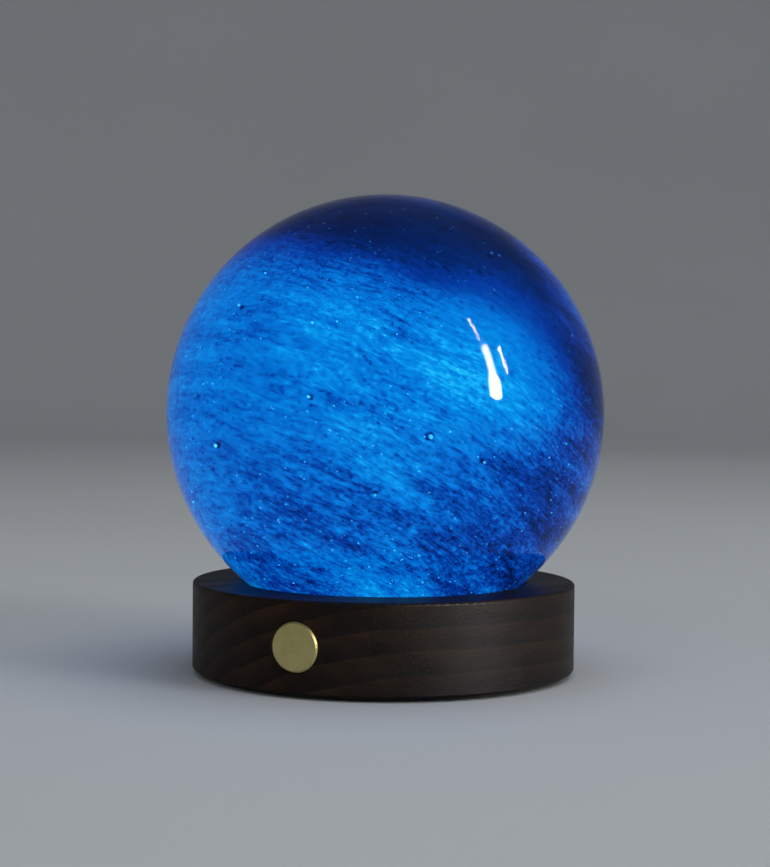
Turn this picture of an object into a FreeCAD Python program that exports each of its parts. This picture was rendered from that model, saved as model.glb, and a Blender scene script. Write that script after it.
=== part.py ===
"""A glass ball night light: a solid streaked glass ball that rests in a turned walnut base.

The base holds the lamp: a round circuit board with its LEDs, a reflector, a diffuser, a battery,
a charging socket and a brass push button. Millimetres, +Z up. The origin is the middle of the
foot ring's underside, so the table is at z = 0. The button faces -Y and the socket faces +Y.
"""

import FreeCAD, Part

import math
import os

V = FreeCAD.Vector
Y_AXIS = V(0, 1, 0)
Z_AXIS = V(0, 0, 1)

# ---- driving dimensions -------------------------------------------------------------------

ball_r = 50.0
base_r = 43.75  # the turned walnut base
wood_height = 19.8
foot_height = 1.1  # the rubber foot ring, which lifts the wood off the table
ball_above_top = 38.3  # the ball's centre above the base's top face
running_gap = 0.06  # all round, between pieces that slide in each other
rest_gap = 0.1  # between the ball and what it rests on

# ---- heights worked out from them -----------------------------------------------------------

wood_z = foot_height
top_z = wood_z + wood_height
ball_z = top_z + ball_above_top

cover_thick = 1.5
cover_top = wood_z + cover_thick
board_z = cover_top + 1.4
board_thick = 1.2
board_top = board_z + board_thick

shelf_z = 12.4  # underside of the wooden shelf that carries the seat ring
shelf_thick = 2.0
shelf_top = shelf_z + shelf_thick

# ---- seat ----------------------------------------------------------------------------------

ring_wire_r = 1.5  # section radius of the round silicone seat ring
ring_z = shelf_top + rest_gap / 2 + ring_wire_r
ring_reach = ball_r + rest_gap + ring_wire_r  # from the ball's centre to the ring's section
ring_r = math.sqrt(ring_reach**2 - (ball_z - ring_z) ** 2)
step_r = ring_r + ring_wire_r + rest_gap
mouth_z = shelf_top + 3.5  # where the step's wall opens out into the mouth
mouth_gap = 0.45  # between the ball and the mouth's edge
mouth_r = math.sqrt(ball_r**2 - ball_above_top**2) + mouth_gap
throat_r = 24.0  # the hole in the shelf that the light comes through

# ---- inside of the base ----------------------------------------------------------------------

cavity_r = 38.0
cover_r = 41.0
cover_gap = 0.15
boss_r = 4.0  # the wooden bosses that take the cover's screws
boss_circle_r = 34.5
boss_angles = (60, 120, 240, 300)
pilot_r = 1.1
pilot_depth = 6.6
foot_inner_r = 37.0

# ---- push button -----------------------------------------------------------------------------

button_r = 5.4
button_z = wood_z + wood_height / 2
button_gap = 0.2
button_proud = 0.35
button_thick = 3.0
button_bevel = 0.35
pocket_floor_y = -40.0  # the web of wood behind the button's pocket
web_y = -cavity_r
stem_r = 2.0
stem_end_r = 1.5  # where the retainer is pressed on
bush_r = 3.2
retainer_r = 4.0
retainer_thick = 0.95
retainer_y = web_y + 0.15
plunger_tip_y = retainer_y + retainer_thick

# ---- circuit board -----------------------------------------------------------------------------

board_r = 30.0
board_flat_x = 18.9
rear_tab = (18.0, 36.6)  # full width, and how far it reaches along +Y
front_tab = (14.0, 35.0)
board_screw_r = 0.95
board_post_r = 2.4  # the cover's posts under the board
board_screw_circle_r = 25.5
board_screw_angles = (75, 180, 285)
parts_circle_r = 24.6  # the small electronic parts stand on this circle

# ---- charging socket -----------------------------------------------------------------------------

socket_width = 8.94
socket_height = 3.26
socket_length = 7.3
socket_wall = 0.3
socket_mouth_y = 38.9
socket_z = board_top + socket_height / 2
plug_hole = (13.0, 7.0, 2.0)  # width, height and corner radius of the hole in the wood

# ---- battery -------------------------------------------------------------------------------------

cell_min = V(20.2, -13.5, cover_top + 0.6)
cell_size = V(12.6, 31.5, 6.0)
lead_r = 0.4
lead_z = board_top + 1.6


# ---- helpers -------------------------------------------------------------------------------------


def cylinder(radius, height, base=V(), axis=Z_AXIS):
    return Part.makeCylinder(radius, height, base, axis)


def box(low, high):
    """A box from its lowest corner to its highest."""
    size = V(*high) - V(*low)
    return Part.makeBox(size.x, size.y, size.z, V(*low))


def on_circle(radius, degrees, z=0.0):
    angle = math.radians(degrees)
    return V(radius * math.cos(angle), radius * math.sin(angle), z)


def revolved(points):
    """A solid of revolution about Z from (radius, height) points."""
    corners = [V(r, 0, z) for r, z in points]
    face = Part.Face(Part.makePolygon(corners + corners[:1]))
    return face.revolve(V(), Z_AXIS, 360)


def rounded_bar(width, height, corner, y_from, y_to, z):
    """A bar along Y with a rounded rectangle for its section, centred on x = 0 and the height z."""
    bar = box((-width / 2, y_from, z - height / 2), (width / 2, y_to, z + height / 2))
    along_y = [e for e in bar.Edges if abs(e.Vertexes[0].Y - e.Vertexes[-1].Y) > 1e-6]
    return bar.makeFillet(corner, along_y)


def ring_edges(shape, radius, z):
    """The circular edges of that radius about the Z axis, at that height."""
    found = []
    for edge in shape.Edges:
        curve = edge.Curve
        if not isinstance(curve, Part.Circle) or abs(curve.Radius - radius) > 1e-4:
            continue
        if abs(curve.Center.z - z) < 1e-4 and math.hypot(curve.Center.x, curve.Center.y) < 1e-4:
            found.append(edge)
    return found


def joined(solids):
    """Several solids made into one."""
    whole = solids[0]
    for solid in solids[1:]:
        whole = whole.fuse(solid)
    return whole.removeSplitter()


def cross_recess(reach, half_width, low, high):
    """The cross-shaped hole that a screwdriver fits."""
    along_x = box((-reach, -half_width, low), (reach, half_width, high))
    along_y = box((-half_width, -reach, low), (half_width, reach, high))
    return along_x.fuse(along_y)


def turned(shape, degrees):
    """The shape turned about the Z axis."""
    copy = shape.copy()
    copy.rotate(V(), Z_AXIS, degrees)
    return copy


def tube_along(points, radius):
    """A tube on straight runs joined by tangent arcs."""
    corners = [V(*p) for p in points]
    runs = [corners[i + 1] - corners[i] for i in range(len(corners) - 1)]
    edges, start = [], corners[0]
    for i in range(1, len(corners) - 1):
        before, after = V(runs[i - 1]).normalize(), V(runs[i]).normalize()
        cut = 0.45 * min(runs[i - 1].Length, runs[i].Length)
        bend = cut / math.tan(before.getAngle(after) / 2)
        enter, leave = corners[i] - before * cut, corners[i] + after * cut
        to_middle = (after - before).normalize()
        centre_way = math.hypot(bend, cut)
        middle = corners[i] + to_middle * (centre_way - bend)
        edges += [Part.LineSegment(start, enter).toShape(), Part.Arc(enter, middle, leave).toShape()]
        start = leave
    edges.append(Part.LineSegment(start, corners[-1]).toShape())
    section = Part.Wire(Part.Circle(corners[0], runs[0], radius).toShape())
    return Part.Wire(edges).makePipeShell([section], True, True)


# ---- the ball and its seat -------------------------------------------------------------------------


def glass_ball():
    return Part.makeSphere(ball_r, V(0, 0, ball_z))


def seat_ring():
    return Part.makeTorus(ring_r, ring_wire_r, V(0, 0, ring_z))


# ---- the walnut base ---------------------------------------------------------------------------------


def wood_base():
    body = cylinder(base_r, wood_height, V(0, 0, wood_z))
    body = body.makeFillet(0.6, ring_edges(body, base_r, top_z))
    body = body.makeChamfer(0.4, ring_edges(body, base_r, wood_z))
    seat = revolved(
        [
            (0, shelf_top),
            (step_r, shelf_top),
            (step_r, mouth_z),
            (mouth_r, top_z - 0.3),
            (mouth_r + 0.3, top_z),
            (mouth_r + 0.3, top_z + 1),
            (0, top_z + 1),
        ]
    )
    body = body.cut(seat)
    body = body.cut(cylinder(throat_r, shelf_thick + 2, V(0, 0, shelf_z - 1)))
    body = body.cut(cylinder(cover_r + cover_gap, cover_thick + 1, V(0, 0, wood_z - 1)))
    body = body.cut(inner_hollow())
    body = body.cut(plug_opening())
    return body.cut(button_hole()).removeSplitter()


def inner_hollow():
    """The hollow that holds the lamp's workings, less the four bosses for the cover's screws."""
    hollow = cylinder(cavity_r, shelf_z - cover_top, V(0, 0, cover_top))
    for angle in boss_angles:
        foot = on_circle(boss_circle_r, angle, cover_top)
        boss = cylinder(boss_r, shelf_z - cover_top + 1, foot)
        pilot = cylinder(pilot_r, pilot_depth, foot)
        hollow = hollow.cut(boss).fuse(pilot)
    return hollow


def plug_opening():
    width, height, corner = plug_hole
    return rounded_bar(width, height, corner, cavity_r - 2, base_r + 1, socket_z)


def button_hole():
    """The button's pocket, the bush's hole in the web, and the space for the retainer behind it."""
    pocket_deep = pocket_floor_y + base_r + 1
    pocket = cylinder(button_r + button_gap, pocket_deep, V(0, -base_r - 1, button_z), Y_AXIS)
    bush_hole = cylinder(bush_r, web_y - pocket_floor_y + 1, V(0, pocket_floor_y - 0.5, button_z), Y_AXIS)
    behind = box((-5.2, web_y, button_z - 5.5), (5.2, -33.0, button_z + 4.6))
    return pocket.fuse(bush_hole).fuse(behind)


def bottom_cover():
    cover = cylinder(cover_r, cover_thick, V(0, 0, wood_z))
    cover = cover.makeChamfer(0.3, ring_edges(cover, cover_r, wood_z))
    solids = [cover]
    for angle in board_screw_angles:
        foot = on_circle(board_screw_circle_r, angle, cover_top)
        solids.append(cylinder(board_post_r, board_z - cover_top, foot))
    solids += cell_fences()
    cover = joined(solids)
    for angle in boss_angles:
        cover = cover.cut(cover_screw(angle, slack=0.12))
    for angle in board_screw_angles:
        cover = cover.cut(cylinder(board_screw_r, 10, on_circle(board_screw_circle_r, angle, wood_z + 0.7)))
    groove_outer, groove_inner, groove_deep = 28.6, 27.4, 0.4
    disc = cylinder(groove_outer, groove_deep, V(0, 0, wood_z))
    groove = disc.cut(cylinder(groove_inner, groove_deep, V(0, 0, wood_z)))
    return cover.cut(groove).removeSplitter()


def cell_fences():
    """Two low ribs on the cover that keep the battery in its place."""
    low, high = cell_min, cell_min + cell_size
    gap, thick, tall = 0.2, 1.0, 2.2
    rear = box((22.0, high.y + gap, cover_top), (29.0, high.y + gap + thick, cover_top + tall))
    outer = box((high.x + gap, -8.0, cover_top), (high.x + gap + thick, 8.0, cover_top + tall))
    return [rear, outer]


def cover_screw(angle, slack=0.0):
    """A countersunk wood screw, driven up through the cover. Slack makes the hole for it."""
    head_r, head_rim, head_deep, length, tip = 2.2, 0.25, 1.35, 8.0, 1.0
    outline = [
        (0, 0),
        (head_r + slack, 0),
        (head_r + slack, head_rim),
        (pilot_r + slack, head_deep),
        (pilot_r + slack, length - tip),
        (0, length),
    ]
    screw = revolved(outline)
    if not slack:
        screw = screw.cut(cross_recess(1.3, 0.28, -1, 0.8))
    screw.translate(on_circle(boss_circle_r, angle, wood_z))
    return screw


def foot_ring():
    outer = cylinder(cover_r, foot_height)
    outer = outer.makeFillet(0.25, ring_edges(outer, cover_r, 0))
    return outer.cut(cylinder(foot_inner_r, foot_height * 3, V(0, 0, -foot_height)))


# ---- the push button ---------------------------------------------------------------------------------


def button_cap():
    """The brass disc with its stem, stepped down at the end to take the retainer."""
    face_y = -base_r - button_proud
    disc = cylinder(button_r, button_thick, V(0, face_y, button_z), Y_AXIS)
    disc = disc.makeChamfer(button_bevel, [e for e in disc.Edges if abs(e.BoundBox.YMax - face_y) < 1e-6])
    stem = cylinder(stem_r, retainer_y - face_y - 1, V(0, face_y + 1, button_z), Y_AXIS)
    end = cylinder(stem_end_r, plunger_tip_y - face_y - 1, V(0, face_y + 1, button_z), Y_AXIS)
    return joined([disc, stem, end])


def button_bush():
    length = web_y - pocket_floor_y
    sleeve = cylinder(bush_r, length, V(0, pocket_floor_y, button_z), Y_AXIS)
    return sleeve.cut(cylinder(stem_r + running_gap, length, V(0, pocket_floor_y, button_z), Y_AXIS))


def button_retainer():
    """The disc on the stem's end. It stops the button coming out, and presses the switch."""
    disc = cylinder(retainer_r, retainer_thick, V(0, retainer_y, button_z), Y_AXIS)
    return disc.cut(cylinder(stem_end_r, retainer_thick, V(0, retainer_y, button_z), Y_AXIS))


# ---- the switch behind the button ------------------------------------------------------------------

switch_front_y = -35.6
switch_back_y = -30.3
switch_half = 3.0
switch_tall = 5.6
switch_bore_deep = 2.0
plunger_z = board_top + 2.8
plunger_r = 1.6


def switch_body():
    top = board_top + switch_tall
    body = box((-switch_half, switch_front_y, board_top), (switch_half, switch_back_y, top))
    bore = cylinder(plunger_r + running_gap, switch_bore_deep, V(0, switch_front_y, plunger_z), Y_AXIS)
    return body.cut(bore)


def switch_plunger():
    """The switch's own small button. The retainer on the push button's stem rests against it."""
    length, start_y = 2.25, plunger_tip_y
    pin = cylinder(plunger_r, length, V(0, start_y, plunger_z), Y_AXIS)
    return pin.makeFillet(0.25, [e for e in pin.Edges if abs(e.BoundBox.YMax - start_y) < 1e-6])


def switch_dome():
    """The thin snap dome that pushes the plunger back."""
    rise, thick, reach = 0.2, 0.08, plunger_r - 0.15
    dome_r = (reach**2 + rise**2) / (2 * rise)
    apex_y = switch_front_y + switch_bore_deep - rise
    centre = V(0, apex_y + dome_r, plunger_z)
    shell = Part.makeSphere(dome_r, centre).cut(Part.makeSphere(dome_r - thick, centre))
    return shell.common(cylinder(plunger_r, rise, V(0, apex_y, plunger_z), Y_AXIS))


def switch_bracket():
    """The folded steel plate that holds the switch down, with a leg through the board each side."""
    thick, side = 0.3, switch_half + 0.05
    top = board_top + switch_tall
    front = box((-side - thick, switch_front_y - thick, board_top), (side + thick, switch_front_y, top))
    front = front.cut(cylinder(plunger_r + 0.3, 1, V(0, switch_front_y - 0.6, plunger_z), Y_AXIS))
    parts = [front]
    for sign in (-1, 1):
        inner, outer = sorted((sign * side, sign * (side + thick)))
        leg_y = switch_front_y + 1.6
        parts.append(box((inner, switch_front_y, board_top), (outer, switch_front_y + 3.2, top)))
        parts.append(box((inner, leg_y, board_z - 0.5), (outer, leg_y + 1.2, board_top)))
    return joined(parts)


# ---- the circuit board and what is on it -----------------------------------------------------------


def circuit_board():
    board = cylinder(board_r, board_thick, V(0, 0, board_z))
    rear_wide, rear_y = rear_tab
    front_wide, front_y = front_tab
    board = board.fuse(box((-rear_wide / 2, 0, board_z), (rear_wide / 2, rear_y, board_top)))
    board = board.fuse(box((-front_wide / 2, -front_y, board_z), (front_wide / 2, 0, board_top)))
    board = board.cut(box((board_flat_x, -50, board_z - 1), (50, 50, board_top + 1)))
    for angle in board_screw_angles:
        foot = on_circle(board_screw_circle_r, angle, board_z - 1)
        board = board.cut(cylinder(board_screw_r + 0.15, board_thick + 2, foot))
    for x, y in socket_leg_places():
        board = board.cut(box((x - 0.4, y - 0.75, board_z - 1), (x + 0.4, y + 0.75, board_top + 1)))
    for sign in (-1, 1):
        x = sign * (switch_half + 0.2)
        slot_y = switch_front_y + 1.4
        board = board.cut(box((x - 0.3, slot_y, board_z - 1), (x + 0.3, slot_y + 1.6, board_top + 1)))
    return board.removeSplitter()


def board_screw(angle):
    """A pan head screw through the board into the cover's post."""
    head_r, head_tall = 1.9, 1.2
    at = on_circle(board_screw_circle_r, angle, board_top)
    head = cylinder(head_r, head_tall)
    head = head.makeFillet(0.5, ring_edges(head, head_r, head_tall))
    head = head.cut(cross_recess(1.1, 0.25, head_tall - 0.6, head_tall + 1))
    shank_low = wood_z + 0.75 - board_top
    screw = head.fuse(cylinder(board_screw_r, -shank_low, V(0, 0, shank_low))).removeSplitter()
    screw.translate(at)
    return screw


led_size = (3.5, 2.8, 0.8)
led_circle_r = 6.6
led_count = 6


def led_places():
    """The middle LED and the ring of LEDs round it, as (centre, turn in degrees)."""
    step = 360 / led_count
    return [(V(0, 0, board_top), 0)] + [
        (on_circle(led_circle_r, step * i, board_top), step * i) for i in range(led_count)
    ]


def led_packages():
    length, width, tall = led_size
    made = []
    for centre, turn in led_places():
        package = box((-length / 2, -width / 2, 0), (length / 2, width / 2, tall))
        package = package.cut(cylinder(1.05, tall, V(0, 0, tall - 0.3)))
        package.rotate(V(), Z_AXIS, turn)
        package.translate(centre)
        made.append(package)
    return made


def led_windows():
    tall = led_size[2]
    return [cylinder(1.05, 0.3, centre + V(0, 0, tall - 0.3)) for centre, _ in led_places()]


chip_size = (4.9, 3.9, 1.5)


def chip(angle):
    """An eight-legged chip's body, with its long side along the board's rim."""
    length, width, tall = chip_size
    lift = 0.1
    body = box((-width / 2, -length / 2, lift), (width / 2, length / 2, lift + tall))
    body = body.makeChamfer(0.2, [e for e in body.Edges if e.BoundBox.ZMin > lift + tall - 1e-6])
    body = body.cut(cylinder(0.35, 0.1, V(width / 2 - 0.8, length / 2 - 0.8, lift + tall - 0.1)))
    body.translate(V(parts_circle_r, 0, board_top))
    return turned(body, angle)


leg_half_width = 0.2
leg_thick = 0.2
leg_top = 0.95
leg_bars = (
    (0.0, 0.5, leg_top - leg_thick, leg_top),  # the shoulder, out of the body
    (0.3, 0.5, 0.0, leg_top),  # the upright
    (0.3, 1.0, 0.0, leg_thick),  # the foot, soldered to the board
)


def leg_bar(sign, y, reach_from, reach_to, low, high):
    """One bar of a bent leg, from reach_from to reach_to beyond the side of the chip's body."""
    side = chip_size[1] / 2
    x_low, x_high = sorted((sign * (side + reach_from), sign * (side + reach_to)))
    return box((x_low, y - leg_half_width, low), (x_high, y + leg_half_width, high))


def chip_leads(angle):
    """The chip's eight bent legs."""
    legs, pitch = [], 1.27
    for sign in (-1, 1):
        for i in range(4):
            y = (i - 1.5) * pitch
            leg = joined([leg_bar(sign, y, *reach_and_rise) for reach_and_rise in leg_bars])
            leg.translate(V(parts_circle_r, 0, board_top))
            legs.append(turned(leg, angle))
    return legs


charge_chip_angle = 150
control_chip_angle = 212
coil_angle = 125
capacitor_angles = (108, 137, 166, 194, 228, 241)
resistor_angles = (103, 160, 199, 222, 234, 252)


def power_coil():
    """A shielded coil: a square block with its wound core showing on top."""
    side, tall, core_r = 5.0, 2.4, 1.7
    block = box((-side / 2, -side / 2, 0), (side / 2, side / 2, tall))
    block = block.makeChamfer(0.8, [e for e in block.Edges if e.BoundBox.ZLength > tall - 1e-6])
    groove_foot = V(0, 0, tall - 0.3)
    groove = cylinder(core_r + 0.35, 0.3, groove_foot).cut(cylinder(core_r, 0.3, groove_foot))
    block = block.cut(groove)
    block.translate(V(parts_circle_r, 0, board_top))
    return turned(block, coil_angle)


def small_parts(angles, size, circle_r):
    """Small blocks on the board, one at each angle."""
    length, width, tall = size
    made = []
    for angle in angles:
        block = box((-length / 2, -width / 2, 0), (length / 2, width / 2, tall))
        block.translate(V(circle_r, 0, board_top))
        made.append(turned(block, angle))
    return made


def charge_light():
    """The small lamp beside the socket that shows when the battery is charging."""
    at = V(-7.4, 35.6, board_top)
    block = box((-0.8, -0.4, 0), (0.8, 0.4, 0.6))
    block.translate(at)
    return block


# ---- reflector and diffuser ------------------------------------------------------------------------

diffuser_r = 17.8
diffuser_z = 7.3
diffuser_thick = 1.5


def reflector():
    """A white funnel from the board up to the shelf. It holds the diffuser and hides the workings."""
    gap = 0.05
    flange_top = shelf_z - gap
    return revolved(
        [
            (10.5, board_top),
            (19.2, board_top),
            (19.2, 9.4),
            (23.2, 11.4),
            (27.0, 11.4),
            (27.0, flange_top),
            (23.4, flange_top),
            (diffuser_r + 0.2, 9.4),
            (diffuser_r + 0.2, diffuser_z),
            (16.6, diffuser_z),
            (12.4, board_top + 1.0),
            (10.5, board_top + 1.0),
        ]
    )


def diffuser():
    disc = cylinder(diffuser_r, diffuser_thick, V(0, 0, diffuser_z))
    return disc.makeChamfer(0.3, ring_edges(disc, diffuser_r, diffuser_z + diffuser_thick))


# ---- charging socket ---------------------------------------------------------------------------------

socket_back_y = socket_mouth_y - socket_length
insulator_front_y = socket_back_y + 1.4


def socket_bar(shrink, y_from, y_to):
    """A bar with the socket's flattened round section, made smaller all round by shrink."""
    height = socket_height - 2 * shrink
    return rounded_bar(socket_width - 2 * shrink, height, height / 2 - 0.01, y_from, y_to, socket_z)


def socket_leg_places():
    x = socket_width / 2 - 0.12
    return [(sign * x, y) for sign in (-1, 1) for y in (socket_back_y + 1.2, socket_back_y + 3.9)]


def socket_shell():
    shell = socket_bar(0, socket_back_y, socket_mouth_y)
    shell = shell.cut(socket_bar(socket_wall, socket_back_y - 1, socket_mouth_y + 1))
    legs = []
    for x, y in socket_leg_places():
        legs.append(box((x - 0.15, y - 0.5, board_z - 0.4), (x + 0.15, y + 0.5, socket_z)))
    return joined([shell] + legs)


def socket_tongue():
    """The plastic block at the back of the socket and the thin tongue that carries the contacts."""
    back = socket_bar(socket_wall, socket_back_y, insulator_front_y)
    tongue = box((-3.35, insulator_front_y, socket_z - 0.35), (3.35, socket_mouth_y - 0.9, socket_z + 0.35))
    return joined([back, tongue])


def socket_contacts():
    """Twelve contacts on each face of the tongue."""
    count, pitch, wide, thick = 12, 0.5, 0.28, 0.08
    made = []
    for i in range(count):
        x = (i - (count - 1) / 2) * pitch
        for low, high in ((0.35, 0.35 + thick), (-0.35 - thick, -0.35)):
            corner = (x - wide / 2, insulator_front_y, socket_z + low)
            made.append(box(corner, (x + wide / 2, socket_mouth_y - 1.4, socket_z + high)))
    return made


# ---- battery -----------------------------------------------------------------------------------------

guard_thick = 1.5  # the cell's protection board, at its front end
plug_x = (15.6, 19.8)
battery_socket_min = V(11.8, -24.2, board_top)
battery_socket_max = V(17.0, -18.4, board_top + 3.6)
lead_places = {"red": (26.0, -20.3), "black": (29.0, -22.3)}  # where each leaves the cell, and its plug row


def battery_cell():
    """A flat pouch cell with rounded sides."""
    low, high = cell_min, cell_min + cell_size
    pouch = box(low, high)
    along_y = [e for e in pouch.Edges if e.BoundBox.YLength > cell_size.y - 1e-6]
    return pouch.makeFillet(1.6, along_y)


def battery_guard():
    low, high = cell_min, cell_min + cell_size
    return box((low.x + 1, low.y - guard_thick, low.z + 1.2), (high.x - 1, low.y, high.z - 1.2))


def battery_pad():
    """The foam tape between the cell and the cover."""
    low, high = cell_min, cell_min + cell_size
    return box((low.x + 2, low.y + 2, cover_top), (high.x - 2, high.y - 2, low.z))


def battery_lead(colour):
    x, y = lead_places[colour]
    start_y = cell_min.y - guard_thick
    return tube_along([(x, start_y, lead_z), (x, y, lead_z), (plug_x[1], y, lead_z)], lead_r)


def battery_plug():
    """The plug on the leads, pushed into its socket from the side."""
    return box((plug_x[0], -23.4, board_top + 0.6), (plug_x[1], -19.2, board_top + 2.9))


def battery_socket():
    low, high = battery_socket_min, battery_socket_max
    body = box(low, high)
    return body.cut(box((plug_x[0], -23.5, board_top + 0.5), (high.x + 1, -19.1, board_top + 3.0)))


# ---- writing the parts -------------------------------------------------------------------------------


def all_parts():
    """Every sub-part by its name. A list is a group of separate solids in one node."""
    return {
        "glass_ball": glass_ball(),
        "seat_ring": seat_ring(),
        "wood_base": wood_base(),
        "bottom_cover": bottom_cover(),
        "cover_screws": [cover_screw(angle) for angle in boss_angles],
        "foot_ring": foot_ring(),
        "button_cap": button_cap(),
        "button_bush": button_bush(),
        "button_retainer": button_retainer(),
        "switch_body": switch_body(),
        "switch_plunger": switch_plunger(),
        "switch_dome": switch_dome(),
        "switch_bracket": switch_bracket(),
        "circuit_board": circuit_board(),
        "board_screws": [board_screw(angle) for angle in board_screw_angles],
        "led_packages": led_packages(),
        "led_windows": led_windows(),
        "charge_chip": chip(charge_chip_angle),
        "control_chip": chip(control_chip_angle),
        "chip_leads": chip_leads(charge_chip_angle) + chip_leads(control_chip_angle),
        "power_coil": power_coil(),
        "capacitors": small_parts(capacitor_angles, (1.6, 0.8, 0.8), parts_circle_r + 3.6),
        "resistors": small_parts(resistor_angles, (1.6, 0.8, 0.45), parts_circle_r - 3.6),
        "charge_light": charge_light(),
        "reflector": reflector(),
        "diffuser": diffuser(),
        "socket_shell": socket_shell(),
        "socket_tongue": socket_tongue(),
        "socket_contacts": socket_contacts(),
        "battery_cell": battery_cell(),
        "battery_guard": battery_guard(),
        "battery_pad": battery_pad(),
        "battery_lead_red": battery_lead("red"),
        "battery_lead_black": battery_lead("black"),
        "battery_plug": battery_plug(),
        "battery_socket": battery_socket(),
    }


def main():
    os.makedirs("parts", exist_ok=True)
    for name, shape in all_parts().items():
        whole = Part.makeCompound(shape) if isinstance(shape, list) else shape
        if not whole.isValid() or whole.Volume <= 0:
            raise ValueError(f"{name} isn't a sound solid")
        whole.exportStep(f"parts/{name}.step")
        print(f"{name}: {len(whole.Solids)} solids, {whole.Volume:.1f} mm3")


main()
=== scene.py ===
"""The looks of a glass ball night light: a streaked blue glass ball, lit from below, in a walnut base."""

import math
import random

import bmesh
import bpy
from mathutils import Matrix, Vector, noise


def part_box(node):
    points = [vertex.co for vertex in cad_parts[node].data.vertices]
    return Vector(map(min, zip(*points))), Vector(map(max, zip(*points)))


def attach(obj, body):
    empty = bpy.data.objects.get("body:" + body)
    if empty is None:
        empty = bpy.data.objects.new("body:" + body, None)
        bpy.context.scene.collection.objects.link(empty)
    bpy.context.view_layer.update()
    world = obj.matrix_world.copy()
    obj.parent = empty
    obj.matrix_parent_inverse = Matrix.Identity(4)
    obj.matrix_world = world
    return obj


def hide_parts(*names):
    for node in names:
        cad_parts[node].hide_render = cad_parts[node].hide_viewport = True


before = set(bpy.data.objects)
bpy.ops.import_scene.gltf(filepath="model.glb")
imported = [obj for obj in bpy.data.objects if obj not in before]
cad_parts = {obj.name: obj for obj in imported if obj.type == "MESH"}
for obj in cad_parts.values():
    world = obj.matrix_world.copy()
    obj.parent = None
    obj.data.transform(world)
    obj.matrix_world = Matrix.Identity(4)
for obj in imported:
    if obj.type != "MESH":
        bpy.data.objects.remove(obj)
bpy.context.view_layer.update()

MM = 0.001
WATER_WHITE = (0.94, 0.98, 1.0)

# ---- places, from the CAD parts ------------------------------------------------------------------

ball_low, ball_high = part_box("glass_ball")
ball_centre = (ball_low + ball_high) / 2
ball_r = (ball_high.z - ball_low.z) / 2
skin_mm = 2.4  # the clear outer layer of the ball

# ---- the camera's side of the object -------------------------------------------------------------

view_azimuth = math.radians(25.1)  # how far round from the button's face the camera stands
to_right = Vector((math.cos(view_azimuth), math.sin(view_azimuth), 0))
to_camera = Vector((math.sin(view_azimuth), -math.cos(view_azimuth), 0))
to_top = Vector((0, 0, 1))


def facing(right, up, near):
    """A unit direction, given as the camera sees it: how far right, up and nearer."""
    return (right * to_right + up * to_top + near * to_camera).normalized()


swirl_axis = facing(0.407, 0.879, -0.25)  # the streaks and the dark band wind round this line

# the largest bubbles, each as its direction from the ball's centre and its radius in mm
chosen_bubbles = (
    (facing(0.19, -0.07, 0.98), 0.5),
    (facing(-0.74, -0.13, 0.66), 0.42),
    (facing(-0.32, 0.09, 0.94), 0.34),
    (facing(-0.64, 0.48, 0.6), 0.36),
    (facing(0.46, 0.72, 0.52), 0.34),
    (facing(-0.04, -0.32, 0.95), 0.3),
    (facing(0.42, -0.18, 0.89), 0.3),
)


# ---- material building ---------------------------------------------------------------------------


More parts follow.
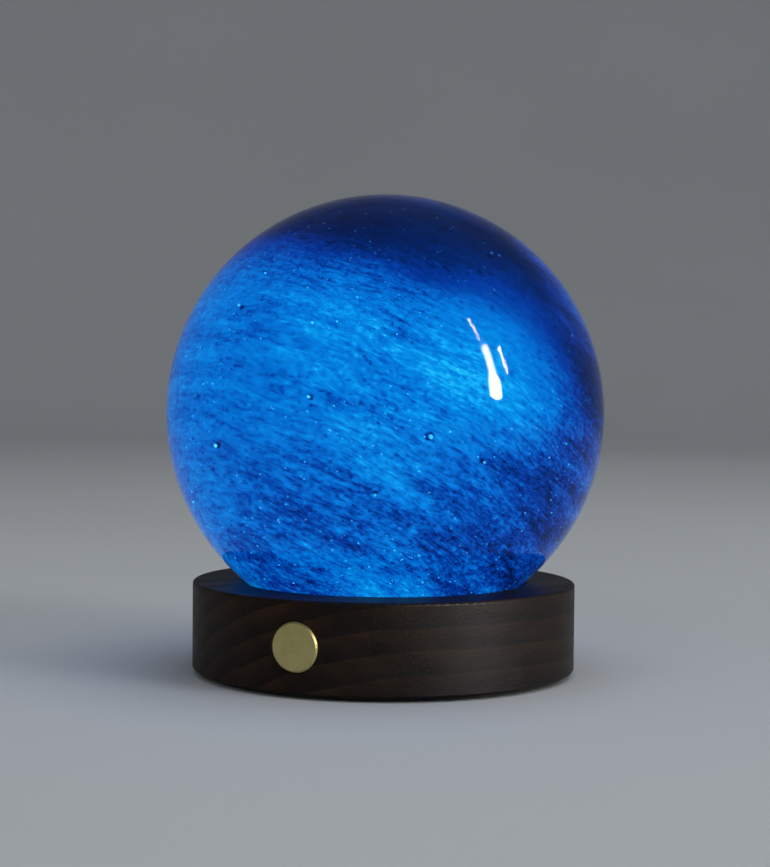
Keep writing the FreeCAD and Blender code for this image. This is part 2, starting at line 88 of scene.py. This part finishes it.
class Shade:
    """One Principled material, with short calls that add nodes and return their output sockets."""

    def __init__(self, name, **settings):
        self.material = bpy.data.materials.new(name)
        self.material.use_nodes = True
        self.tree = self.material.node_tree
        self.shader = self.tree.nodes["Principled BSDF"]
        for key, value in settings.items():
            self.put(key.replace("_", " ").title().replace("Ior", "IOR"), value)

    def put(self, socket_name, value):
        """Sets or links one input of the Principled shader."""
        self.feed(self.shader.inputs[socket_name], value)

    def feed(self, socket, value):
        """Links a socket to the input, or sets it. A colour of three numbers gets its fourth."""
        if isinstance(value, bpy.types.NodeSocket):
            self.tree.links.new(value, socket)
        elif isinstance(value, (tuple, list)) and len(value) == 3 and len(socket.default_value) == 4:
            socket.default_value = (*value, 1)
        else:
            socket.default_value = value

    def node(self, kind, inputs, output=0, **settings):
        """Adds a node of that kind, fills its inputs and returns one of its outputs."""
        made = self.tree.nodes.new("ShaderNode" + kind)
        for key, value in settings.items():
            setattr(made, key, value)
        for key, value in inputs.items():
            self.feed(made.inputs[key], value)
        return made.outputs[output]

    def place(self, origin=(0, 0, 0), axis=(0, 0, 1), size=(1, 1, 1)):
        """Object space measured from origin, with Z turned along axis, in units of size metres."""
        turn = Vector((0, 0, 1)).rotation_difference(Vector(axis)).to_euler()
        here = self.node("TexCoord", {}, "Object")
        inputs = {"Vector": here, "Location": tuple(origin), "Rotation": tuple(turn), "Scale": size}
        return self.node("Mapping", inputs, vector_type="TEXTURE")

    def noise(self, where, detail=2.0, roughness=0.5, output="Fac"):
        inputs = {"Vector": where, "Scale": 1.0, "Detail": detail, "Roughness": roughness}
        return self.node("TexNoise", inputs, output)

    def math(self, operation, a, b=0.0, c=0.0):
        return self.node("Math", {0: a, 1: b, 2: c}, operation=operation)

    def vector(self, operation, a, b=(0, 0, 0), output=0):
        return self.node("VectorMath", {0: a, 1: b}, output, operation=operation)

    def fit(self, value, low, high, to_low=0.0, to_high=1.0):
        """The value's low to high stretched smoothly to to_low to to_high."""
        inputs = {"Value": value, 1: low, 2: high, 3: to_low, 4: to_high}
        return self.node("MapRange", inputs, interpolation_type="SMOOTHSTEP")

    def ramp(self, value, stops):
        """The colour at that value, where each stop is a place from 0 to 1 and its colour."""
        made = self.tree.nodes.new("ShaderNodeValToRGB")
        self.tree.links.new(value, made.inputs[0])
        elements = made.color_ramp.elements
        elements.remove(elements[1])
        elements[0].position, elements[0].color = stops[0][0], (*stops[0][1], 1)
        for position, colour in stops[1:]:
            elements.new(position).color = (*colour, 1)
        return made.outputs[0]

    def mix(self, share, a, b):
        """The colour a where share is 0, and b where it is 1."""
        made = self.tree.nodes.new("ShaderNodeMix")
        made.data_type = "RGBA"
        for index, value in ((0, share), (6, a), (7, b)):
            self.feed(made.inputs[index], value)
        return made.outputs[2]

    def bump(self, height, distance, strength=1.0, under=None):
        """A bump of that height in metres. Under is a bump that it adds to."""
        inputs = {"Height": height, "Distance": distance, "Strength": strength}
        if under is not None:
            inputs["Normal"] = under
        return self.node("Bump", inputs)


# ---- the glass ball's materials ------------------------------------------------------------------


def glowing_glass():
    """The lit blue body of the ball: fine streaks wound round one axis, and a dark band."""
    shade = Shade("lit_blue_glass", roughness=0.35, ior=1.45)
    from_centre = shade.place(ball_centre, size=(ball_r,) * 3)
    wander = shade.noise(shade.place(size=(22 * MM,) * 3), detail=2.0, output="Color")
    stray_mm = 3.0  # the most that a streak strays along the axis

    def streaks(long, thick, detail, roughness, shift):
        """Noise drawn out round the axis: its grains are long and thick in mm."""
        size = (long * MM, long * MM, thick * MM)
        where = shade.place(ball_centre, swirl_axis, size)
        inputs = {0: wander, 1: (shift, shift, stray_mm / thick), 2: where}
        swung = shade.node("VectorMath", inputs, operation="MULTIPLY_ADD")
        return shade.noise(swung, detail, roughness)

    def toward(direction):
        """The place's distance along that direction, from the centre, in radii of the ball."""
        return shade.vector("DOT_PRODUCT", from_centre, tuple(direction), "Value")

    # the dark band is where band is near 1, and its edge follows the broad streaks
    broad = streaks(long=24, thick=4.5, detail=2.0, roughness=0.5, shift=0.3)
    raggedness = 0.3
    off_middle = shade.math("SUBTRACT", broad, 0.5)
    edge = shade.math("MULTIPLY_ADD", off_middle, raggedness, toward(swirl_axis))
    band_stops = (
        (0.14, 0.0),
        (0.32, 0.4),
        (0.45, 0.9),
        (0.54, 1.0),
        (0.76, 0.95),
        (0.86, 0.6),
        (1.0, 0.35),
    )
    band = shade.ramp(edge, [(height, (grey,) * 3) for height, grey in band_stops])

    # how strongly the streaks show: least in the dark band, and changed towards some directions
    contrast = shade.math("MULTIPLY_ADD", band, -0.75, 1.0)
    far_side = facing(-0.1, 0.35, -0.93)
    contrast_changes = (
        (facing(-0.9, 0.2, 0.4), -0.35),
        (facing(0.85, 0.3, 0.43), -0.2),
        (facing(0.85, 0.35, -0.4), 0.75),
        (far_side, 0.4),
    )
    change_starts, change_full, least_contrast = 0.4, 0.9, 0.2
    for direction, change in contrast_changes:
        part = shade.fit(toward(direction), change_starts, change_full, 0.0, change)
        contrast = shade.math("ADD", contrast, part)
    contrast = shade.math("MAXIMUM", contrast, least_contrast)

    # the brightness: dark in the band, then each layer swings it up and down
    middle = streaks(long=4.2, thick=0.85, detail=3.0, roughness=0.62, shift=0.5)
    fine = streaks(long=1.5, thick=0.36, detail=2.0, roughness=0.6, shift=0.7)
    mottle = shade.noise(shade.place(size=(1.4 * MM,) * 3), detail=2.0)
    grain = shade.noise(shade.place(size=(0.22 * MM,) * 3), detail=1.0)
    level = shade.math("MULTIPLY_ADD", band, -0.50, 0.52)
    layers = ((broad, 0.8), (middle, 0.95), (fine, 0.6), (mottle, 0.4), (grain, 0.4))
    for layer, strength in layers:
        swing = shade.math("MULTIPLY", shade.math("SUBTRACT", layer, 0.5), contrast)
        level = shade.math("MULTIPLY_ADD", swing, strength, level)

    # dark specks, and tiny seed bubbles painted in: a dot of painted light inside a ring of painted shade
    specks = streaks(long=1.6, thick=0.55, detail=0.0, roughness=0.5, shift=0.9)
    level = shade.math("ADD", level, shade.fit(specks, 0.70, 0.82, 0.0, -0.15))
    inputs = {"Vector": shade.place(size=(1.5 * MM,) * 3), "Scale": 1.0}
    off_dot = shade.node("TexVoronoi", inputs, "Distance")
    painted_ring_shade = shade.fit(off_dot, 0.14, 0.32, -0.22, 0.0)
    painted_glint = shade.fit(off_dot, 0.05, 0.15, 0.6, 0.0)
    painted_glint_and_ring = shade.math("ADD", painted_ring_shade, painted_glint)
    level = shade.math("MULTIPLY_ADD", painted_glint_and_ring, contrast, level)

    # broad patches of painted light and shade on the glow: the direction, where each starts and is full,
    # and its change
    painted_light_and_shade = (
        (facing(0.2, 0.25, 0.94), 0.6, 1.0, 0.25),
        (facing(0.62, 0.30, 0.72), 0.80, 0.98, 0.24),
        (facing(0.74, -0.45, 0.50), 0.5, 1.0, -0.22),
        (facing(0.02, -0.8, 0.6), 0.88, 1.0, 0.4),
        (facing(-0.75, 0.35, 0.55), 0.6, 1.0, 0.12),
        (facing(0.86, 0.50, 0.0), 0.80, 1.0, 0.5),
        (far_side, 0.2, 0.95, 0.2),
    )
    for direction, starts, full, change in painted_light_and_shade:
        level = shade.math("ADD", level, shade.fit(toward(direction), starts, full, 0.0, change))

    # a soft shadow behind each of the largest bubbles
    shadow_spread, shadow_change = 2.6, -0.4
    for direction, size in chosen_bubbles:
        behind = direction * (1 - skin_mm * MM / ball_r)
        away = shade.vector("DISTANCE", from_centre, tuple(behind), "Value")
        shadow = size * MM / ball_r
        part = shade.fit(away, shadow, shadow_spread * shadow, shadow_change, 0.0)
        level = shade.math("ADD", level, part)
    colour = shade.ramp(
        level,
        [
            (0.0, (0.0006, 0.005, 0.045)),
            (0.16, (0.0008, 0.0125, 0.115)),
            (0.30, (0.0008, 0.030, 0.285)),
            (0.42, (0.001, 0.062, 0.40)),
            (0.54, (0.001, 0.127, 0.578)),
            (0.66, (0.001, 0.18, 0.67)),
            (0.78, (0.0015, 0.24, 0.76)),
            (0.9, (0.003, 0.34, 0.86)),
            (1.0, (0.012, 0.50, 0.96)),
        ],
    )
    shade.put("Base Color", (0.0, 0.002, 0.008))
    shade.put("Specular IOR Level", 0.0)
    shade.put("Emission Color", colour)
    shade.put("Emission Strength", 1.0)
    return shade.material


def clear_glass():
    """The clear outer layer. Its index is below real glass, so that it mirrors less of the room."""
    shade = Shade("polished_glass", roughness=0.0, ior=1.16, base_color=WATER_WHITE)
    shade.put("Transmission Weight", 1.0)
    ripple = shade.noise(shade.place(size=(18 * MM,) * 3), detail=1.0)
    shade.put("Normal", shade.bump(ripple, 0.05 * MM, strength=0.5))
    return shade.material


def bubble_air():
    """The air in a bubble, seen from inside the glass. It glows less inside the dark band."""
    glass_index, least_glow = 1.3, 0.15
    shade = Shade("bubble_air", roughness=0.0, ior=1 / glass_index, base_color=(1, 1, 1))
    shade.put("Transmission Weight", 1.0)
    variety = shade.noise(shade.place(size=(0.9 * MM,) * 3), detail=1.0)
    from_centre = shade.place(ball_centre, size=(ball_r,) * 3)
    height = shade.vector("DOT_PRODUCT", from_centre, tuple(swirl_axis), "Value")
    by_bubble = shade.fit(variety, 0.35, 0.62, least_glow)
    by_height = shade.fit(height, 0.1, 0.4, 1.0, least_glow)
    glow = shade.math("MULTIPLY", by_bubble, by_height)
    shade.put("Emission Color", shade.mix(glow, (0.001, 0.03, 0.16), (0.05, 0.55, 0.85)))
    shade.put("Emission Strength", 0.9)
    return shade.material


# ---- wood, metal and moulded materials -----------------------------------------------------------


def walnut():
    """Dark oiled wood: rings round a pith under the base, pores, and faint turning marks."""
    shade = Shade("oiled_walnut", coat_weight=0.06, coat_roughness=0.35)
    shade.put("Specular IOR Level", 0.12)
    grain_way = Matrix.Rotation(math.radians(62), 3, "Z") @ Vector((1, 0, 0))
    pith = Vector((0.03, -0.05, -0.075))
    flow = shade.noise(shade.place(pith, grain_way, (14 * MM, 14 * MM, 60 * MM)), detail=3.0)
    rings_at = shade.place(pith, grain_way, (1, 1, 8))
    inputs = {"Vector": rings_at, "Scale": 62.0, "Distortion": 3.2, "Detail": 3.0, "Detail Scale": 0.6}
    rings = shade.node("TexWave", inputs, "Fac", wave_type="RINGS", rings_direction="Z", wave_profile="SAW")
    figure = shade.noise(shade.place(pith, grain_way, (7 * MM, 5 * MM, 26 * MM)), detail=4.0, roughness=0.6)
    pores = shade.noise(shade.place(pith, grain_way, (0.22 * MM, 0.22 * MM, 5 * MM)), detail=2.0)
    tone = shade.math("MULTIPLY_ADD", rings, 0.35, shade.math("MULTIPLY", figure, 0.65))
    tone = shade.math("ADD", tone, shade.math("MULTIPLY_ADD", flow, 0.5, -0.25))
    colour = shade.ramp(
        tone,
        [
            (0.2, (0.0042, 0.0018, 0.0007)),
            (0.42, (0.0098, 0.0042, 0.0016)),
            (0.6, (0.021, 0.0088, 0.0031)),
            (0.85, (0.043, 0.019, 0.0065)),
        ],
    )
    pits = shade.fit(pores, 0.60, 0.72)
    shade.put("Base Color", shade.mix(pits, colour, (0.004, 0.0025, 0.0018)))
    shade.put("Roughness", shade.fit(figure, 0.2, 0.8, 0.42, 0.56))
    turning = shade.noise(shade.place(size=(1, 1, 0.35 * MM)), detail=1.0)
    lathe = shade.bump(turning, 0.012 * MM)
    above_pits = shade.math("SUBTRACT", 1.0, pits)
    shade.put("Normal", shade.bump(above_pits, 0.05 * MM, strength=0.8, under=lathe))
    return shade.material


def metal(name, colour, roughness, brush, wear=0.12):
    """A metal with fine scratches of the size brush (in mm) and a patchy tarnish."""
    shade = Shade(name, metallic=1.0)
    scratch = shade.noise(shade.place(size=tuple(side * MM for side in brush)), detail=3.0, roughness=0.7)
    patch = shade.noise(shade.place(size=(3.5 * MM,) * 3), detail=4.0)
    dull = tuple(part * (1 - 2.5 * wear) for part in colour)
    shade.put("Base Color", shade.mix(shade.fit(patch, 0.35, 0.75), colour, dull))
    shade.put("Roughness", shade.fit(scratch, 0.25, 0.75, roughness - 0.07, roughness + 0.1))
    shade.put("Normal", shade.bump(scratch, 0.004 * MM))
    return shade.material


def moulded(name, colour, roughness, grain=0.3, depth=0.006, coat=0.0):
    """Moulded plastic, rubber or resin, with a fine texture of grain (in mm) and faint clouding."""
    shade = Shade(name, coat_weight=coat, coat_roughness=0.1)
    texture = shade.noise(shade.place(size=(grain * MM,) * 3), detail=2.0)
    cloud = shade.noise(shade.place(size=(6 * MM,) * 3), detail=3.0)
    light = tuple(min(1.0, part * 1.12 + 0.004) for part in colour)
    dark = tuple(part * 0.84 for part in colour)
    shade.put("Base Color", shade.mix(shade.fit(cloud, 0.3, 0.7), dark, light))
    shade.put("Roughness", shade.fit(texture, 0.25, 0.75, roughness - 0.05, roughness + 0.07))
    shade.put("Normal", shade.bump(texture, depth * MM))
    return shade.material


def see_through(name, colour, roughness, ior):
    """A slightly cloudy clear rubber."""
    shade = Shade(name, ior=ior, roughness=roughness)
    shade.put("Transmission Weight", 0.75)
    cloud = shade.noise(shade.place(size=(4 * MM,) * 3), detail=2.0)
    shade.put("Base Color", shade.mix(cloud, colour, (0.9, 0.93, 0.95)))
    return shade.material


def lit(name, colour, glow, strength, spread):
    """A lit plastic that is brightest at the middle of the lamp and fades over spread metres."""
    shade = Shade(name, base_color=colour, roughness=0.4)
    away = shade.vector("LENGTH", shade.vector("MULTIPLY", shade.place(), (1, 1, 0)), output="Value")
    ripple = shade.noise(shade.place(size=(3 * MM,) * 3), detail=2.0)
    fall = shade.fit(away, 0.0, spread, 1.0, 0.45)
    level = shade.math("MULTIPLY", fall, shade.fit(ripple, 0.2, 0.8, 0.92, 1.06))
    shade.put("Emission Color", shade.mix(level, (0, 0, 0), glow))
    shade.put("Emission Strength", strength)
    return shade.material


def solder_mask():
    """White solder mask over fine copper tracks."""
    shade = Shade("white_solder_mask", roughness=0.35, coat_weight=0.4, coat_roughness=0.12)
    inputs = {"Vector": shade.place(size=(2.4 * MM,) * 3), "Scale": 1.0, "Randomness": 0.15}
    cell_edge = shade.node("TexVoronoi", inputs, "Distance", distance="MANHATTAN")
    tracks = shade.fit(cell_edge, 0.44, 0.52)
    shade.put("Base Color", shade.mix(tracks, (0.72, 0.72, 0.68), (0.56, 0.57, 0.5)))
    shade.put("Normal", shade.bump(tracks, 0.03 * MM))
    return shade.material


# ---- the ball's pieces ---------------------------------------------------------------------------


def new_piece(name, mesh_maker, material):
    """A smooth mesh piece that mesh_maker fills in."""
    build = bmesh.new()
    mesh_maker(build)
    mesh = bpy.data.meshes.new(name)
    build.to_mesh(mesh)
    build.free()
    for face in mesh.polygons:
        face.use_smooth = True
    mesh.materials.append(material)
    piece = bpy.data.objects.new(name, mesh)
    bpy.context.scene.collection.objects.link(piece)
    return piece


def blown_ball(radius, unevenness, subdivisions):
    """A ball that is a little uneven, as one shaped by hand is. It never passes the radius."""
    dips = 1.7  # how close together the dips are

    def fill(build):
        bmesh.ops.create_icosphere(build, subdivisions=subdivisions, radius=1.0)
        for vertex in build.verts:
            way = vertex.co.normalized()
            dip = 0.5 + 0.5 * noise.noise(way * dips)
            vertex.co = ball_centre + way * (radius - unevenness * dip)

    return fill


def unit_ball(subdivisions):
    """The corners and faces of a small round ball of radius 1."""
    ball = bmesh.new()
    bmesh.ops.create_icosphere(ball, subdivisions=subdivisions, radius=1.0)
    corners = [vertex.co.copy() for vertex in ball.verts]
    faces = [[vertex.index for vertex in face.verts] for face in ball.faces]
    ball.free()
    return corners, faces


def random_way(dice):
    """A random direction from the ball's centre, down to just below the base's top."""
    lowest = -0.8
    height = dice.uniform(lowest, 1.0)
    turn = dice.uniform(0, 2 * math.pi)
    side = math.sqrt(1 - height * height)
    return Vector((side * math.cos(turn), side * math.sin(turn), height))


def seed_bubbles(build):
    """Air bubbles in the clear layer, each drawn out a little, at random, along the streaks."""
    glass_above, glass_below, most_stretch = 0.25, 0.15, 1.35  # the first two in mm
    large = 0.2  # mm of radius, above which a bubble has finer faces
    dice = random.Random(7)
    spots = list(chosen_bubbles)
    for count, smallest, largest in ((30, 0.2, 0.34), (1400, 0.08, 0.17)):
        for _ in range(count):
            spots.append((random_way(dice), dice.uniform(smallest, largest)))
    coarse_ball, fine_ball = unit_ball(2), unit_ball(3)
    for way, size in spots:
        depth = dice.uniform(size + glass_above, skin_mm - size - glass_below) * MM
        along = swirl_axis.cross(way).normalized()
        turn = Matrix((along, way.cross(along).normalized(), way)).transposed().to_4x4()
        stretch = Matrix.Diagonal((dice.uniform(1.0, most_stretch), 1.0, 1.0, 1.0))
        place = Matrix.Translation(ball_centre + way * (ball_r - depth)) @ turn @ stretch
        corners, faces = fine_ball if size > large else coarse_ball
        made = [build.verts.new(place @ (corner * size * MM)) for corner in corners]
        for face in faces:
            build.faces.new([made[i] for i in face])


def make_ball():
    """The clear skin in place of the CAD ball, the lit core inside it, and bubbles between them."""
    core_r = ball_r - skin_mm * MM
    skin = new_piece("ball_skin", blown_ball(ball_r, 0.08 * MM, subdivisions=7), clear_glass())
    core = new_piece("ball_core", blown_ball(core_r, 0.3 * MM, subdivisions=6), glowing_glass())
    bubbles = new_piece("ball_bubbles", seed_bubbles, bubble_air())
    for piece in (skin, core, bubbles):
        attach(piece, "ball")
    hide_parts("glass_ball")


# ---- materials on the CAD nodes ------------------------------------------------------------------


def dress_nodes():
    """Gives every CAD node but the ball its material."""
    black = moulded("black_shell_plastic", (0.018, 0.018, 0.02), 0.5, 0.35)
    steel = metal("zinc_steel", (0.55, 0.55, 0.57), 0.3, (0.2, 0.2, 0.2))
    sheet = metal("tinned_sheet", (0.68, 0.67, 0.65), 0.28, (0.08, 1.5, 0.08))
    ivory = moulded("ivory_nylon", (0.74, 0.70, 0.58), 0.42, 0.2)
    chips = moulded("chip_epoxy", (0.012, 0.012, 0.014), 0.5, 0.12)
    looks = {
        "wood_base": walnut(),
        "seat_ring": see_through("clear_silicone", (0.75, 0.8, 0.83), 0.25, 1.41),
        "bottom_cover": black,
        "cover_screws": steel,
        "foot_ring": moulded("foot_rubber", (0.02, 0.02, 0.021), 0.75, 0.2, 0.012),
        "button_cap": metal("brushed_brass", (0.58, 0.49, 0.20), 0.3, (2.5, 2.5, 0.05), 0.06),
        "button_bush": moulded("natural_acetal", (0.66, 0.65, 0.6), 0.35),
        "button_retainer": sheet,
        "switch_body": moulded("switch_nylon", (0.015, 0.015, 0.016), 0.45, 0.2),
        "switch_plunger": moulded("plunger_acetal", (0.6, 0.6, 0.57), 0.35, 0.2),
        "switch_dome": metal("spring_steel", (0.62, 0.61, 0.6), 0.22, (0.05, 0.05, 0.05)),
        "switch_bracket": sheet,
        "circuit_board": solder_mask(),
        "board_screws": steel,
        "led_packages": moulded("led_housing", (0.8, 0.8, 0.78), 0.4, 0.15),
        "led_windows": lit("led_phosphor", (0.8, 0.65, 0.2), (1.0, 0.95, 0.85), 6.0, 0.02),
        "charge_chip": chips,
        "control_chip": chips,
        "chip_leads": sheet,
        "power_coil": moulded("coil_ferrite", (0.05, 0.05, 0.055), 0.6, 0.15, 0.01),
        "capacitors": moulded("tan_ceramic", (0.36, 0.25, 0.14), 0.45, 0.1),
        "resistors": moulded("resistor_glaze", (0.014, 0.014, 0.02), 0.3, 0.1),
        "charge_light": lit("charge_lamp", (0.5, 0.16, 0.02), (0.9, 0.3, 0.04), 0.6, 0.08),
        "reflector": moulded("white_reflector", (0.82, 0.82, 0.81), 0.3, 0.5),
        "diffuser": lit("opal_diffuser", (0.8, 0.83, 0.85), (0.8, 0.9, 1.0), 1.1, 0.019),
        "socket_shell": metal("drawn_steel", (0.6, 0.6, 0.61), 0.24, (0.1, 1.2, 0.1)),
        "socket_tongue": moulded("tongue_plastic", (0.02, 0.02, 0.021), 0.4, 0.1),
        "socket_contacts": metal("gold_contacts", (0.95, 0.68, 0.28), 0.2, (0.05, 0.4, 0.05), 0.04),
        "battery_cell": metal("foil_pouch", (0.72, 0.73, 0.75), 0.33, (1.2, 0.4, 0.4)),
        "battery_guard": moulded("amber_tape", (0.42, 0.22, 0.03), 0.3, 0.6, coat=0.3),
        "battery_pad": moulded("foam_tape", (0.12, 0.12, 0.13), 0.9, 0.25, 0.05),
        "battery_lead_red": moulded("red_silicone", (0.42, 0.015, 0.01), 0.45, 0.25),
        "battery_lead_black": moulded("black_silicone", (0.012, 0.012, 0.012), 0.45, 0.25),
        "battery_plug": ivory,
        "battery_socket": ivory,
    }
    for name, material in looks.items():
        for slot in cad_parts[name].material_slots:
            slot.material = material


# ---- floor, light and camera ---------------------------------------------------------------------


def pale_matt():
    """A pale matt floor with a faint tooth."""
    shade = Shade("pale_floor", roughness=0.6, specular_ior_level=0.0)
    cloud = shade.noise(shade.place(size=(0.25,) * 3), detail=3.0)
    shade.put("Base Color", shade.mix(cloud, (0.57, 0.58, 0.59), (0.63, 0.64, 0.65)))
    tooth = shade.noise(shade.place(size=(0.8 * MM,) * 3), detail=2.0)
    shade.put("Normal", shade.bump(tooth, 0.02 * MM))
    return shade.material


def make_floor():
    """A flat floor that turns up smoothly into a round backdrop."""
    flat_r, bend_r, wall_top, sides, bend_steps = 1.3, 0.7, 2.0, 96, 12
    profile = [(flat_r / 2, 0.0)]
    for step in range(bend_steps + 1):
        angle = math.pi / 2 * step / bend_steps
        profile.append((flat_r + bend_r * math.sin(angle), bend_r * (1 - math.cos(angle))))
    profile.append((flat_r + bend_r, wall_top))
    turns = [2 * math.pi * i / sides for i in range(sides)]

    def fill(build):
        rows = []
        for radius, height in profile:
            places = [(radius * math.cos(turn), radius * math.sin(turn), height) for turn in turns]
            rows.append([build.verts.new(place) for place in places])
        middle = build.verts.new((0, 0, 0))
        for i in range(sides):
            j = (i + 1) % sides
            build.faces.new((middle, rows[0][i], rows[0][j]))
            for inner, outer in zip(rows, rows[1:]):
                build.faces.new((inner[i], outer[i], outer[j], inner[j]))

    new_piece("studio_floor", fill, pale_matt())


def softbox(name, direction, distance, width, height, power, colour=(1, 1, 1)):
    """A rectangular light that faces the ball from that direction."""
    light = bpy.data.lights.new(name, "AREA")
    light.shape, light.size, light.size_y = "RECTANGLE", width, height
    light.energy, light.color = power, colour
    lamp = bpy.data.objects.new(name, light)
    lamp.location = ball_centre + direction * distance
    lamp.rotation_euler = direction.to_track_quat("Z", "Y").to_euler()
    bpy.context.scene.collection.objects.link(lamp)
    return lamp


def make_lights():
    """An even sky, strips that light nothing matt, and soft lights that no reflection shows."""
    strip_distance, cool_white = 0.62, (0.95, 0.98, 1.0)
    world = bpy.data.worlds.new("studio")
    world.use_nodes = True
    sky = world.node_tree.nodes["Background"]
    sky.inputs["Color"].default_value = (0.86, 0.93, 1.0, 1)
    sky.inputs["Strength"].default_value = 0.16
    bpy.context.scene.world = world
    for name, direction, width, height, power in (
        ("window", facing(0.785, 0.33, 0.535), 0.042, 0.26, 4.4),
        ("window_foot", facing(0.815, 0.215, 0.55), 0.07, 0.10, 4.0),
        ("window_edge", facing(0.865, 0.41, 0.41), 0.018, 0.12, 0.7),
        ("window_top", facing(0.64, 0.63, 0.46), 0.02, 0.12, 0.5),
    ):
        strip = softbox(name, direction, strip_distance, width, height, power)
        strip.visible_diffuse = False
    for name, direction, distance, side, power in (
        ("overhead", facing(0.2, 1.0, 0.1), 1.3, 1.2, 6.5),
        ("key", facing(0.8, 0.45, 0.5), 1.2, 0.45, 3.5),
        ("fill", facing(-0.6, 0.5, 0.9), 1.4, 1.0, 2.0),
    ):
        lamp = softbox(name, direction, distance, side, side, power, cool_white)
        lamp.visible_glossy = False


def make_camera():
    """The photographer's place: 0.44 m from the lamp's axis, just above the ball's middle."""
    stand_off, eye_height = 0.436, 0.0703
    pitch, roll = -0.036, 0.0088
    data = bpy.data.cameras.new("camera")
    data.sensor_width, data.lens = 36.0, 78.9
    camera = bpy.data.objects.new("camera", data)
    camera.location = to_camera * stand_off + to_top * eye_height
    camera.rotation_mode = "QUATERNION"
    level = (-to_camera).to_track_quat("-Z", "Y").to_matrix()
    tip = Matrix.Rotation(pitch, 3, "X") @ Matrix.Rotation(roll, 3, "Z")
    camera.rotation_quaternion = (level @ tip).to_quaternion()
    bpy.context.scene.collection.objects.link(camera)
    bpy.context.scene.camera = camera


make_ball()
dress_nodes()
make_floor()
make_lights()
make_camera()
bpy.context.scene.view_settings.view_transform = "Standard"
